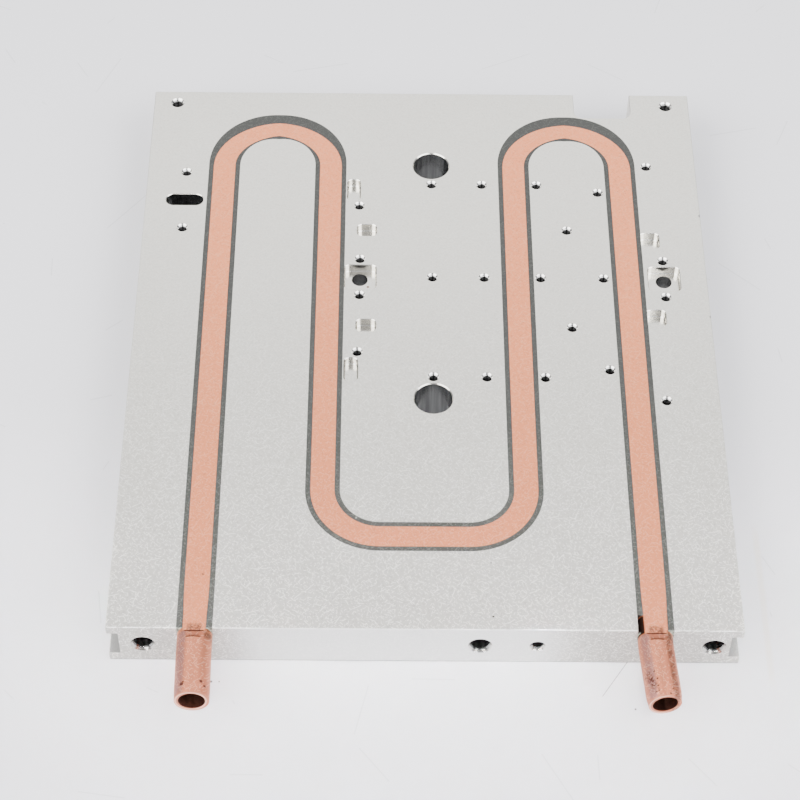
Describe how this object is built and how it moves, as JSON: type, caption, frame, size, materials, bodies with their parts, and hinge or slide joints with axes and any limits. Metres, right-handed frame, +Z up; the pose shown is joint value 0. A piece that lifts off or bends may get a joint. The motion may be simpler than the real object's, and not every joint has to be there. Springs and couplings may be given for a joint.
{
  "type": "liquid cooling cold plate",
  "caption": "Milled aluminium cold plate with a serpentine copper coolant tube potted flush in its top face, holes and pockets for a cooled module, and tube stubs at the front.",
  "frame": {"origin": "centre of the underside face", "axes": "+Z up, out of the top face with the tube; +Y away from the edge where the tube ends stand out; +X to the right seen from that edge"},
  "size_m": [0.18, 0.2389, 0.018],
  "materials": {
    "milled_aluminium": "fine milled, satin",
    "copper": "copper, dull pink, pressed and faced",
    "grey_epoxy": "filled epoxy, faced flat, matte"
  },
  "bodies": {
    "root": {"base_plate": "milled_aluminium", "coolant_tube": "copper", "thermal_epoxy": "grey_epoxy"}
  },
  "joints": []
}
